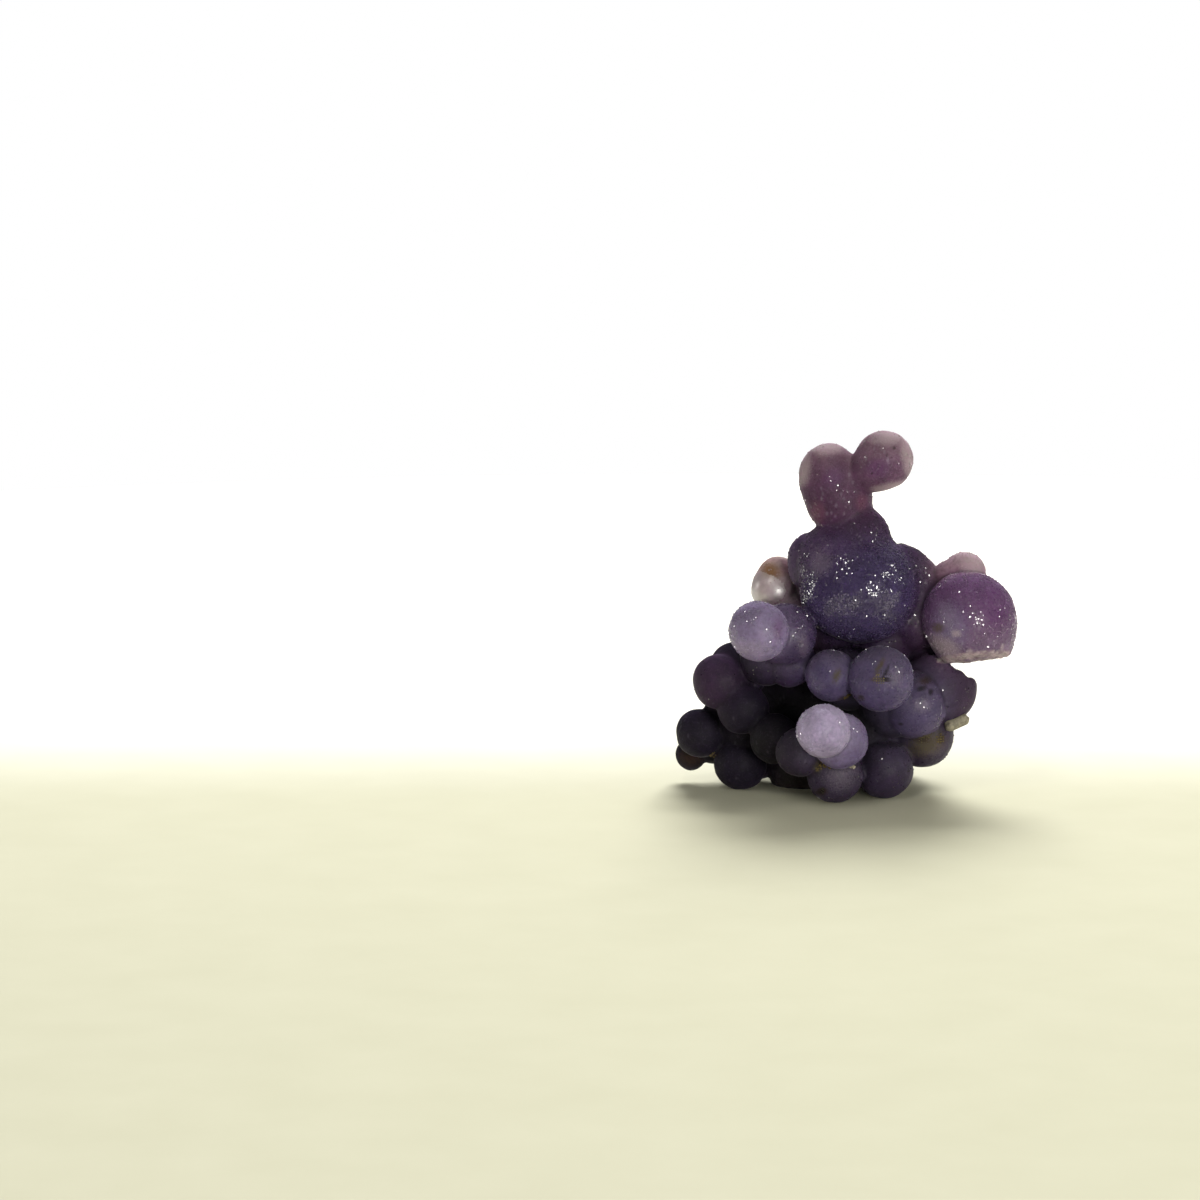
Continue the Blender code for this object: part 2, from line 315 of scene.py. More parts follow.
# How much the grains differ in size, shape and tone, and how much of their size they stand out
GRAIN_SEED = 5
GRAIN_SIZES = (0.4, 1.2)
GRAIN_CORNERS = (0.6, 1.1)
GRAIN_TONES = (0.6, 1.25)
GRAIN_RISE = 0.35

# A loose rod of pale stone stuck under the broken right ball: its ends, thickness and colours
ROD_ENDS = ((11.9, -3.8, 8.25), (14.7, -3.0, 9.4))
ROD_THICKNESS = 1.35
ROD_COLOURS = ("#6b6556", "#8a8371")

# The photograph's view
DISTANCE = 0.450
ELEVATION = math.radians(8.0)
AIM = Vector((-0.0294, 0.0, 0.02315))
LENS_MM = 112.5
SENSOR_MM = 36.0

# The front lights' colour, and the sky: where it glows most, by how much, and how dim it is elsewhere
WARM_WHITE = (1.0, 0.985, 0.92)
SKY_WAY = (0.15, 0.6, 0.78)
SKY_GLOW = 0.28
SKY_DIM = 0.02

# The floor: its radius in metres, its two colours, the painted shadow that darkens it in front, and the
# Y in millimetres between which that fades
FLOOR_RADIUS = 0.36
FLOOR_COLOURS = ("#e6e5d8", "#eeede2")
FLOOR_PAINTED_SHADOW = "#d4d3c4"
FLOOR_SHADOW_FADE = (-10.0, 60.0)

# How fine the skin is, how often it is drawn to the exact surface, and how many points at a time
BALL_DETAIL = 4
SKIN_VOXEL = 0.285
PROJECTIONS = 4
CHUNK = 8000

# The skin's relief in layers of noise: each layer's height, the distance of its lumps, and its shift
SKIN_RELIEF = ((0.13, 2.9, 3.1), (0.05, 1.2, 7.7), (0.018, 0.45, 1.3))
BROKEN_RELIEF = ((0.35, 1.3, 5.5), (0.1, 0.5, 2.2))

# How far the broken faces' relief reaches outside their balls and off their planes, how far their
# crust does, and how far above the ground the relief is whole
BROKEN_RIM = 0.2
BROKEN_REACH = 0.6
CRUST_REACH = 0.5
LEVEL_REACH = 0.4

# The skin's shine: the plain and the glassy balls' specular level and coat, then their sheen
PLAIN_SHINE = (0.2, 0.0)
GLASSY_SHINE = (0.3, 1.0)
COAT_ROUGHNESS = 0.43
COAT_IOR = 3.0
SHEEN_TINT = (0.9, 0.84, 0.92, 1.0)

# How light passes through the skin: its share, how far each colour goes, and the scale of it
SCATTER = 0.9
SCATTER_RADII = (1.0, 0.6, 0.95)
SCATTER_SCALE = 1.1

# The quartz druse: how wide its crystals are, how far they rise and sink, how much their corners
# vary, and how much their feet are wider
DRUSE_SEED = 4
CRYSTAL_RADIUS = (0.07, 0.18)
CRYSTAL_RISE = (0.02, 0.07)
CRYSTAL_SINK = 0.07
CORNER_REACH = (0.7, 1.0)
CORNER_TURN = 0.35
FOOT_WIDTH = 1.15
CRYSTALS_PER_PIECE = 24000

# How much the crystals tip, how much a wild share of them does, which grows with the frost, and how
# much lighter their colour is painted than the skin's, as painted light for the scattered light and
# sheen that the skin has and they lack
CRYSTAL_TIP = 0.075
WILD_TIP = 0.35
WILD_SHARE = 0.4
CRYSTAL_PAINTED_LIGHT = 1.25

# Where the skin faces down more than this, the crystals fade out
UNDER_START = -0.55
UNDER_FADE = 0.35

# The glitter of finer crystals: their size, their share of the skin where there is a crystal to a
# square millimetre, their roughness and how much they tip
GLITTER_SIZE = 0.2
GLITTER_SHARE = 0.005
GLITTER_ROUGHNESS = 0.14
GLITTER_TIP = 0.5

# What tints the crystals as it tints the skin, with the painted light and shade of the upper sides and
# the painted shade in the creases
TINTING = ("tint", "crease", "frost", *ZONES)


def linear(code):
    """A colour written as #rrggbb, as linear red, green and blue."""
    parts = [int(code[i : i + 2], 16) / 255 for i in (1, 3, 5)]
    return [p / 12.92 if p <= 0.04045 else ((p + 0.055) / 1.055) ** 2.4 for p in parts]


def back_balls():
    """Balls over the back of each bunch, on a golden spiral, with seeded uneven sizes."""
    draw = random.Random(BACK_SEED)
    balls = []
    for centre, half_sizes, count, least, largest in BACK_BUNCHES:
        for i in range(count):
            rise = 1 - 2 * (i + 0.5) / count
            turn = i * GOLDEN_ANGLE + draw.uniform(-TURN_SPREAD, TURN_SPREAD)
            radius = BALL_RADIUS * draw.uniform(least, largest)
            depth = 1 + draw.uniform(-DEPTH_SPREAD, DEPTH_SPREAD)
            across = math.sqrt(1 - rise * rise)
            way = (across * math.cos(turn), across * math.sin(turn), rise)
            if way[1] < LEAST_BACKWARD:
                continue
            x, y, z = (c + depth * h * w for c, h, w in zip(centre, half_sizes, way))
            look = BACK_LOOKS[len(balls) % len(BACK_LOOKS)]
            balls.append((x, y, max(z, radius - BASE_WEAR), radius, look))
    return balls


class Cluster:
    """Every shape of the cluster, as arrays, and the surface where they join."""

    def __init__(self):
        self.names, self.centres, self.halves, self.looks = [], [], [], []
        self.soft = [(self.add_balls(group), softness) for group, softness in SOFT_GROUPS]
        self.faces = []
        self.soft.append((self.add_broken(BROKEN_BUD), BUD_SOFTNESS))
        first_single = len(self.names)
        self.add_broken(BROKEN_RIGHT)
        self.add_balls(SINGLE)
        self.add_balls(STALKS)
        self.add_balls({f"back {i}": ball for i, ball in enumerate(back_balls())})
        for name, (centre, half_sizes, look) in MASSES.items():
            self.add_shape(name, centre, half_sizes, look)
        self.single = list(range(first_single, len(self.names)))
        self.centres = np.array(self.centres)
        self.halves = np.array(self.halves)

    def add_shape(self, name, centre, half_sizes, look):
        self.names.append(name)
        self.centres.append(centre)
        self.halves.append(half_sizes)
        self.looks.append(look)

    def add_balls(self, balls):
        first = len(self.names)
        for name, (x, y, z, radius, look) in balls.items():
            self.add_shape(name, (x, y, z), (radius,) * 3, look)
        return list(range(first, len(self.names)))

    def add_broken(self, balls):
        members = self.add_balls({name: ball for name, (ball, _, _) in balls.items()})
        for index, (ball, outward, point) in zip(members, balls.values()):
            outward = np.array(Vector(outward).normalized())
            length = float((np.array(point) - np.array(ball[:3])) @ outward)
            self.faces.append((index, outward, length))
        return members

    def distances(self, points):
        """How far each point is outside each shape, and the way out."""
        scaled = (points[:, None] - self.centres) / self.halves
        steep = scaled / self.halves
        reach = np.linalg.norm(scaled, axis=2)
        slope = np.linalg.norm(steep, axis=2)
        distance = reach * (reach - 1) / slope
        way = steep / slope[..., None]
        for index, outward, length in self.faces:
            over = (points - self.centres[index]) @ outward - length
            flat = over > distance[:, index]
            distance[flat, index] = over[flat]
            way[flat, index] = outward
        return distance, way

    def united(self, distance, softness, least_own=0.0):
        """The joined surface's distance, and each shape's share in it."""
        share = np.zeros_like(distance)
        columns = [distance[:, self.single]]
        for members, own in self.soft:
            total, share[:, members] = smooth_least(distance[:, members], max(own, least_own))
            columns.append(total[:, None])
        share[:, self.single] = 1
        total, outer = smooth_least(np.hstack(columns), softness)
        count = len(self.single)
        share[:, self.single] *= outer[:, :count]
        for column, (members, _) in enumerate(self.soft):
            share[:, members] *= outer[:, count + column, None]
        return total, share, outer

    def surface(self, points):
        """Each point's distance from the skin, and the way out of it, with the level base."""
        distance, way = self.distances(points)
        total, share, _ = self.united(distance, CREASE_SOFTNESS)
        out = (way * share[..., None]).sum(axis=1)
        out /= np.linalg.norm(out, axis=1, keepdims=True) + 1e-9
        below = -points[:, 2] > total
        total[below] = -points[below, 2]
        out[below] = (0.0, 0.0, -1.0)
        return total, out


def smooth_least(values, softness):
    """The least of each row, rounded where two are close, and each value's share in it."""
    least = values.min(axis=1, keepdims=True)
    share = np.exp((least - values) / softness)
    total = share.sum(axis=1, keepdims=True)
    return (least - softness * np.log(total))[:, 0], share / total


def in_chunks(function, points):
    """Runs a function on a few points at a time, to keep the arrays small."""
    made = [function(points[start : start + CHUNK]) for start in range(0, len(points), CHUNK)]
    return [np.concatenate(column) for column in zip(*made)]


def field(points, size, shift):
    """Smooth noise from about -1 to 1, whose lumps are size apart."""
    move = Vector((shift, -shift, 2 * shift))
    return np.array([noise.noise(Vector(point) / size + move) for point in points])


def layered(points, layers):
    """Layers of noise, added up."""
    return sum(height * field(points, size, shift) for height, size, shift in layers)


def new_object(name, data):
    made = bpy.data.objects.new(name, data)
    bpy.context.scene.collection.objects.link(made)
    return made


def overlapping_shapes(cluster):
    """The cluster's shapes as closed meshes that overlap, each cut at its broken face or the ground."""
    cuts = {index: (outward, length) for index, outward, length in cluster.faces}
    bm = bmesh.new()
    for index, (centre, half_sizes) in enumerate(zip(cluster.centres, cluster.halves)):
        place = Matrix.Translation(Vector(centre)) @ Matrix.Diagonal((*half_sizes, 1.0))
        made = bmesh.ops.create_icosphere(
            bm, subdivisions=BALL_DETAIL, radius=1.0, matrix=place
        )["verts"]
        if index in cuts:
            outward, length = cuts[index]
            cut_off(bm, made, Vector(centre) + Vector(outward) * length, Vector(outward))
        elif centre[2] < half_sizes[2]:
            cut_off(bm, made, Vector((0.0, 0.0, 0.0)), Vector((0.0, 0.0, -1.0)))
    bmesh.ops.scale(bm, vec=(MM, MM, MM), verts=bm.verts)
    mesh = bpy.data.meshes.new("shapes")
    bm.to_mesh(mesh)
    bm.free()
    return mesh


def cut_off(bm, verts, point, normal):
    """Cuts a closed shape at a plane and closes the cut."""
    faces = {face for vert in verts for face in vert.link_faces}
    edges = {edge for vert in verts for edge in vert.link_edges}
    cut = bmesh.ops.bisect_plane(
        bm, geom=[*verts, *edges, *faces], dist=1e-5, plane_co=point, plane_no=normal,
        clear_outer=True,
    )
    rim = [part for part in cut["geom_cut"] if isinstance(part, bmesh.types.BMEdge)]
    bmesh.ops.contextual_create(bm, geom=rim)


def joined_mesh(cluster):
    """One even skin round all the shapes."""
    rough = new_object("shapes", overlapping_shapes(cluster))
    joining = rough.modifiers.new("join", "REMESH")
    joining.mode = "VOXEL"
    joining.voxel_size = SKIN_VOXEL * MM
    evaluated = rough.evaluated_get(bpy.context.evaluated_depsgraph_get())
    mesh = bpy.data.meshes.new_from_object(evaluated)
    bpy.data.objects.remove(rough)
    return mesh


def coordinates(mesh):
    points = np.empty(len(mesh.vertices) * 3)
    mesh.vertices.foreach_get("co", points)
    return points.reshape(-1, 3)


def face_corners(mesh):
    """The four corners of each face of the skin."""
    corners = np.empty(len(mesh.loops), dtype=np.int32)
    mesh.loops.foreach_get("vertex_index", corners)
    return corners.reshape(-1, 4)


def face_means(mesh, values):
    """Each face's mean of its corners' values."""
    return values[face_corners(mesh)].mean(axis=1)


def nearness(cluster, points, face, rim, reach):
    """1 on a broken face, down to 0 at reach from its plane, and 0 farther than rim from its ball."""
    index, outward, length = face
    offset = points - cluster.centres[index]
    near = np.linalg.norm(offset, axis=1) < cluster.halves[index, 0] + rim
    return near * np.clip(1 - np.abs(offset @ outward - length) / reach, 0, 1)


def relief(cluster, points):
    """How far the real surface stands off smooth balls: lumps, dimples and a sugared grain."""
    height = layered(points, SKIN_RELIEF)
    broken_height = layered(points, BROKEN_RELIEF)
    for face in cluster.faces:
        height += nearness(cluster, points, face, BROKEN_RIM, BROKEN_REACH) * broken_height
    level = np.clip(points[:, 2] / LEVEL_REACH, 0, 1)
    return height * level


def shape_skin(cluster, mesh):
    """Moves the skin's points onto the cluster's exact surface, with its relief."""
    points = coordinates(mesh) / MM
    for step in range(PROJECTIONS):
        distance, way = in_chunks(cluster.surface, points)
        height = relief(cluster, points) if step == PROJECTIONS - 1 else 0.0
        points += (height - distance)[:, None] * way
    points[:, 2] = np.maximum(points[:, 2], 0.0)
    mesh.vertices.foreach_set("co", (points * MM).ravel())
    mesh.update()
    return points


def ball_shares(cluster, points):
    """Each shape's share in each point's colour, and how deep in a crease the point is."""
    distance, _ = cluster.distances(points)
    _, share, _ = cluster.united(distance, COLOUR_SOFTNESS, COLOUR_SOFTNESS)
    _, _, outer = cluster.united(distance, CREASE_REACH)
    return share, 1 - outer.max(axis=1)


def paint(cluster, points, normals):
    """The skin's colour and marks at each point: tint with its painted light and shade on the upper
    side, crease for the painted shade in creases, stains, crust, polish and druse.
    """
    body, top = (np.array([linear(LOOKS[look][i]) for look in cluster.looks]) for i in (0, 1))
    rough, frost, druse = (np.array([LOOKS[look][i] for look in cluster.looks]) for i in (2, 3, 4))
    share, crease = in_chunks(lambda part: ball_shares(cluster, part), points)
    # Painted light and shade: the upper side's colour, lighter or darker by how the light falls from
    # above, begins a little below level and is strongest straight up
    upwards = normals[:, 2] + 0.25 * field(points, 1.6, 4.4)
    pale = 0.15 + 0.85 * np.clip((upwards + 0.1) / 1.1, 0, 1) ** 1.3
    tint = (share @ body) * (1 - pale)[:, None] + (share @ top) * pale[:, None]
    marks = {
        "glassy": share @ np.array([float(look == GLASSY_LOOK) for look in cluster.looks]),
        "crease": np.clip(crease * 2, 0, 1),
        "rough": share @ rough,
        "frost": share @ frost,
        "druse": share @ druse,
    }
    for kind in MARKS:
        marks[kind] = np.zeros(len(points))
    for name, right, up, half_width, half_height, turn, kind in PLACED_MARKS:
        index = cluster.names.index(name)
        offset = points - cluster.centres[index]
        on_ball = np.clip((FADE_BEHIND - offset[:, 1]) / FADE_BEHIND, 0, 1)
        on_ball *= np.clip((share[:, index] - LEAST_SHARE) / SHARE_FADE, 0, 1)
        cosine, sine = math.cos(math.radians(turn)), math.sin(math.radians(turn))
        x, z = offset[:, 0] - right, offset[:, 2] - up
        along = (x * cosine + z * sine) / half_width
        over = (z * cosine - x * sine) / half_height
        spot = np.exp(-MARK_SHARPNESS * (along**2 + over**2)) * on_ball
        marks[kind] = np.maximum(marks[kind], spot)
    marks["crust"] = crust(cluster, points)
    marks["tint"] = tint
    return marks


def crust(cluster, points):
    """Where the bud's broken face is, with its rim."""
    faces = cluster.faces[: len(BROKEN_BUD)]
    return np.max([nearness(cluster, points, face, CRUST_REACH, CRUST_REACH) for face in faces], axis=0)


def write_marks(mesh, marks):
    """Writes each mark as an attribute of the mesh's points, which the materials read."""
    for name, values in marks.items():
        if values.ndim == 2:
            attribute = mesh.attributes.new(name, "FLOAT_COLOR", "POINT")
            rgba = np.hstack([values, np.ones((len(values), 1))])
            attribute.data.foreach_set("color", rgba.astype(np.float32).ravel())
        else:
            attribute = mesh.attributes.new(name, "FLOAT", "POINT")
            attribute.data.foreach_set("value", values.astype(np.float32))


class Nodes:
    """A small helper that adds and links a material's nodes."""

    def __init__(self, tree):
        self.tree = tree

    def add(self, kind, links=None, **settings):
        node = self.tree.nodes.new(kind)
        for name, value in settings.items():
            setattr(node, name, value)
        for socket, value in (links or {}).items():
            self.put(node.inputs[socket], value)
        return node

    def put(self, socket, value):
        if isinstance(value, bpy.types.NodeSocket):
            self.tree.links.new(value, socket)
        else:
            socket.default_value = value

    def attribute(self, name, output="Fac"):
        return self.add("ShaderNodeAttribute", attribute_name=name).outputs[output]

    def math(self, operation, *values, clamp=False):
        node = self.add("ShaderNodeMath", operation=operation, use_clamp=clamp)
        for socket, value in zip(node.inputs, values):
            self.put(socket, value)
        return node.outputs[0]

    def vector(self, operation, links, output=0):
        return self.add("ShaderNodeVectorMath", links, operation=operation).outputs[output]

    def bump(self, height, strength, depth):
        """The normal of a relief that is depth millimetres deep."""
        links = {"Height": height, "Strength": strength, "Distance": depth * MM}
        return self.add("ShaderNodeBump", links).outputs[0]

    def noise(self, size, place, detail=2.0, roughness=0.5):
        """Noise whose features are size millimetres apart."""
        return self.add(
            "ShaderNodeTexNoise",
            {"Vector": place, "Scale": 1 / size, "Detail": detail, "Roughness": roughness},
        ).outputs["Fac"]

    def cells(self, size, place, output="Distance"):
        """Cells that are size millimetres apart."""
        return self.add("ShaderNodeTexVoronoi", {"Vector": place, "Scale": 1 / size}).outputs[output]

    def ramp(self, value, low, high):
        """0 at low and 1 at high, with soft ends."""
        return self.add(
            "ShaderNodeMapRange",
            {"Value": value, "From Min": low, "From Max": high},
            interpolation_type="SMOOTHSTEP",
        ).outputs["Result"]

    def mix(self, amount, first, second, blend="MIX"):
        node = self.add("ShaderNodeMix", data_type="RGBA", blend_type=blend)
        self.put(node.inputs[0], amount)
        self.put(node.inputs[6], first)
        self.put(node.inputs[7], second)
        return node.outputs[2]


def colour(code):
    return (*linear(code), 1.0)


def new_material(name):
    """A material with one shader, its helper, and the place on the part in millimetres."""
    made = bpy.data.materials.new(name)
    made.use_nodes = True
    nodes = Nodes(made.node_tree)
    shader = made.node_tree.nodes["Principled BSDF"]
    where = nodes.add("ShaderNodeTexCoord").outputs["Object"]
    place = nodes.vector("MULTIPLY", {0: where, 1: (1 / MM,) * 3})
    return made, nodes, shader, place


def agate_tint(nodes, place):
    """Cloudy purple chalcedony with frosted dots and painted shade in the creases."""
    cloud = nodes.math("MULTIPLY_ADD", nodes.noise(1.9, place, 3.0), 0.8, 0.6)
    mottle = nodes.math("MULTIPLY_ADD", nodes.noise(0.42, place, 2.0), 0.6, 0.7)
    tone = nodes.math("MULTIPLY", cloud, mottle)
    tint = nodes.mix(1.0, nodes.attribute("tint", "Color"), tone, "MULTIPLY")
    for kind in ZONES:
        tint, _ = marked(nodes, place, tint, kind)
    tall = nodes.vector("MULTIPLY", {0: place, 1: (1.0, 1.0, 0.6)})
    dot = nodes.ramp(nodes.cells(0.75, tall), 0.36, 0.05)
    cluster = nodes.ramp(nodes.noise(2.2, tall, 3.0), 0.42, 0.66)
    fleck = nodes.math("MULTIPLY", nodes.ramp(nodes.noise(0.2, place, 2.0), 0.52, 0.75), 0.5)
    frost = nodes.math("ADD", nodes.math("MULTIPLY", dot, cluster), fleck, clamp=True)
    frost = nodes.math("MULTIPLY", frost, nodes.math("MULTIPLY", nodes.attribute("frost"), 0.36))
    tint = nodes.mix(frost, tint, colour(FROST))
    # Painted shade: the skin darkens towards the crease colour deep in the creases
    crease = nodes.math("MULTIPLY", nodes.ramp(nodes.attribute("crease"), 0.3, 1.0), 0.2)
    return nodes.mix(crease, tint, colour(CREASE_SHADE))


def marked(nodes, place, tint, kind):
    """One kind of mark over the tint, and how much of the skin it covers."""
    code, cover, ragged = MARKS[kind]
    spot = nodes.attribute(kind)
    uneven = nodes.noise(0.2, place, 4.0, 0.7)
    breaking = nodes.math("MULTIPLY_ADD", uneven, 1.8 * ragged, -0.9 * ragged)
    amount = nodes.ramp(nodes.math("ADD", spot, breaking), 0.1, 1.1)
    amount = nodes.math("MULTIPLY", amount, nodes.ramp(spot, 0.0, 0.6))
    amount = nodes.math("MULTIPLY", amount, cover)
    return nodes.mix(amount, tint, colour(code)), amount


def agate_dirt(nodes, place, tint):
    """The dirt over the tint, and how much of the skin it covers."""
    dirt = 0.0
    for kind in ("amber", *DIRT):
        tint, amount = marked(nodes, place, tint, kind)
        dirt = nodes.math("ADD", dirt, amount, clamp=True)
    uneven = nodes.math("MULTIPLY_ADD", nodes.noise(0.5, place, 4.0, 0.7), 1.2, -0.6)
    crusted = nodes.ramp(nodes.math("ADD", nodes.attribute("crust"), uneven), 0.0, 0.6)
    crusted = nodes.math("MULTIPLY", crusted, nodes.ramp(nodes.attribute("crust"), 0.0, 0.4))
    shade = nodes.mix(nodes.ramp(nodes.noise(0.6, place, 3.0), 0.35, 0.65), *map(colour, CRUST))
    tint = nodes.mix(nodes.math("MULTIPLY", crusted, 0.85), tint, shade)
    return tint, nodes.math("ADD", dirt, crusted, clamp=True)


def agate_material(name, specular, coat):
    """The skin: cloudy chalcedony and dirt, with a fine glitter where the druse is."""
    made, nodes, shader, place = new_material(name)
    tint, dull = agate_dirt(nodes, place, agate_tint(nodes, place))
    uneven = nodes.math("MULTIPLY_ADD", nodes.noise(0.9, place, 3.0), 0.5, 0.75)
    worn = nodes.math("MULTIPLY", nodes.attribute("rough"), uneven)
    worn = nodes.math("MULTIPLY_ADD", dull, 0.4, worn, clamp=True)
    facet = nodes.cells(GLITTER_SIZE, place, "Color")
    picked = nodes.add("ShaderNodeSeparateColor", {0: facet}).outputs[0]
    share = nodes.math("MULTIPLY", nodes.attribute("druse"), GLITTER_SHARE, clamp=True)
    shiny = nodes.math("LESS_THAN", picked, share)
    worn = nodes.math("MULTIPLY_ADD", nodes.math("SUBTRACT", GLITTER_ROUGHNESS, worn), shiny, worn)
    nodes.put(shader.inputs["Base Color"], tint)
    nodes.put(shader.inputs["Roughness"], worn)
    shader.inputs["Specular IOR Level"].default_value = specular
    shader.inputs["Coat Weight"].default_value = coat
    shader.inputs["Coat Roughness"].default_value = COAT_ROUGHNESS
    shader.inputs["Coat IOR"].default_value = COAT_IOR
    shader.inputs["Subsurface Weight"].default_value = SCATTER
    shader.inputs["Subsurface Radius"].default_value = SCATTER_RADII
    shader.inputs["Subsurface Scale"].default_value = SCATTER_SCALE * MM
    shader.inputs["Sheen Weight"].default_value = 0.06
    shader.inputs["Sheen Roughness"].default_value = 0.2
    shader.inputs["Sheen Tint"].default_value = SHEEN_TINT
    grain = nodes.cells(0.22, place)
    fine = nodes.noise(0.14, place, 2.0)
    height = nodes.math("MULTIPLY_ADD", grain, 0.7, nodes.math("MULTIPLY", fine, 0.5))
    height = nodes.math("MULTIPLY", height, nodes.math("MULTIPLY", nodes.attribute("rough"), 2.2))
    aside = nodes.vector("SUBTRACT", {0: facet, 1: (0.5,) * 3})
    tipped = nodes.vector("SCALE", {0: aside, 3: nodes.math("MULTIPLY", shiny, GLITTER_TIP)})
    facing = nodes.vector("ADD", {0: nodes.bump(height, 0.3, 0.05), 1: tipped})
    nodes.put(shader.inputs["Normal"], nodes.vector("NORMALIZE", {0: facing}))
    return made


def druse_material():
    """The crystals: the skin's own colours, painted lighter as painted light, and clear and shiny."""
    made, nodes, shader, place = new_material("quartz_druse")
    glassy = nodes.math("MULTIPLY_ADD", nodes.noise(0.4, place, 2.0), 0.12, 0.04)
    tint = nodes.mix(1.0, agate_tint(nodes, place), (CRYSTAL_PAINTED_LIGHT,) * 3 + (1.0,), "MULTIPLY")
    nodes.put(shader.inputs["Base Color"], tint)
    nodes.put(shader.inputs["Roughness"], glassy)
    shader.inputs["Specular IOR Level"].default_value = 1.0
    shader.inputs["Coat Weight"].default_value = 0.8
    shader.inputs["Coat Roughness"].default_value = 0.04
    nodes.put(shader.inputs["Normal"], nodes.bump(nodes.noise(0.08, place, 2.0), 0.08, 0.01))
    return made


def grain_material():
    """Dry clay and limonite, each grain with its own tint."""
    made, nodes, shader, place = new_material("clay_grains")
    shade = nodes.math("MULTIPLY_ADD", nodes.noise(0.15, place, 3.0), 0.9, 0.55)
    tint = nodes.mix(1.0, nodes.attribute("tint", "Color"), shade, "MULTIPLY")
    nodes.put(shader.inputs["Base Color"], tint)
    nodes.put(shader.inputs["Roughness"], nodes.math("MULTIPLY_ADD", nodes.noise(0.2, place), 0.2, 0.7))
    nodes.put(shader.inputs["Normal"], nodes.bump(nodes.noise(0.07, place, 3.0), 0.5, 0.03))
    return made


def add_piece(mesh, name):
    """Puts a mesh of the part in the scene, on the root node."""
    piece = new_object(name, mesh)
    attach(piece, "root")
    return piece


def make_skin(cluster):
    """The cluster's skin, which takes the solid's place, and its points, normals and marks."""
    mesh = joined_mesh(cluster)
    mesh.name = "grape_agate_skin"
    points = shape_skin(cluster, mesh)
    normals = np.empty(len(points) * 3)
    mesh.vertices.foreach_get("normal", normals)
    normals = normals.reshape(-1, 3)
    marks = paint(cluster, points, normals)
    write_marks(mesh, marks)
    mesh.shade_smooth()
    mesh.materials.clear()
    mesh.materials.append(agate_material("purple_chalcedony", *PLAIN_SHINE))
    mesh.materials.append(agate_material("glassy_chalcedony", *GLASSY_SHINE))
    glassy = face_means(mesh, marks["glassy"]) > 0.5
    mesh.polygons.foreach_set("material_index", glassy.astype(np.int32))
    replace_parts(add_piece(mesh, "grape_agate_skin"), "grape_agate")
    return mesh, points, normals, marks


def mesh_of(name, points, corners, marks):
    """A mesh from points in millimetres and faces that all have the same number of corners."""
    mesh = bpy.data.meshes.new(name)
    count, sides = corners.shape
    mesh.vertices.add(len(points))
    mesh.vertices.foreach_set("co", (points * MM).astype(np.float32).ravel())
    mesh.loops.add(corners.size)
    mesh.loops.foreach_set("vertex_index", corners.astype(np.int32).ravel())
    mesh.polygons.add(count)
    mesh.polygons.foreach_set("loop_start", np.arange(0, corners.size, sides, dtype=np.int32))
    mesh.update(calc_edges=True)
    mesh.shade_flat()
    write_marks(mesh, marks)
    return mesh


def frames(ways, draw):
    """Two directions across each way, turned at random."""
    helper = np.where(np.abs(ways[:, 2:]) < 0.9, (0.0, 0.0, 1.0), (1.0, 0.0, 0.0))
    first = np.cross(ways, helper)
    first /= np.linalg.norm(first, axis=1, keepdims=True)
    second = np.cross(ways, first)
    turn = draw.uniform(0, 2 * math.pi, (len(ways), 1))
    return first * np.cos(turn) + second * np.sin(turn), second * np.cos(turn) - first * np.sin(turn)


# The two triangles and six sides of one crystal, whose top corners are 0 to 2 and foot is 3 to 5
CRYSTAL_FACES = np.array([
    (0, 1, 2), (5, 4, 3), (0, 3, 4), (0, 4, 1), (1, 4, 5), (1, 5, 2), (2, 5, 3), (2, 3, 0),
])


def crystals(points, ways, marks, draw):
    """Small clear plates, each tipped its own way, with their feet in the skin."""
    count = len(points)
    radius = draw.uniform(*CRYSTAL_RADIUS, (count, 1, 1))
    wild = draw.random((count, 1)) < WILD_SHARE * marks["frost"][:, None]
    tip = np.where(wild, WILD_TIP, CRYSTAL_TIP)
    lean = ways + tip * draw.normal(size=(count, 3))
    lean /= np.linalg.norm(lean, axis=1, keepdims=True)
    first, second = frames(lean, draw)
    spread = draw.uniform(*CORNER_REACH, (count, 3, 1))
    angle = np.arange(3) * 2 * math.pi / 3 + draw.uniform(-CORNER_TURN, CORNER_TURN, (count, 3))
    ring = np.cos(angle)[..., None] * first[:, None] + np.sin(angle)[..., None] * second[:, None]
    rise = draw.uniform(*CRYSTAL_RISE, (count, 1, 1))
    top = points[:, None] + ring * spread * radius + lean[:, None] * rise
    foot = points[:, None] + ring * spread * radius * FOOT_WIDTH - ways[:, None] * CRYSTAL_SINK
    corners = np.arange(count)[:, None, None] * 6 + CRYSTAL_FACES
    own = {name: np.repeat(values, 6, axis=0) for name, values in marks.items()}
    return np.concatenate([top, foot], axis=1).reshape(-1, 3), corners.reshape(-1, 3), own


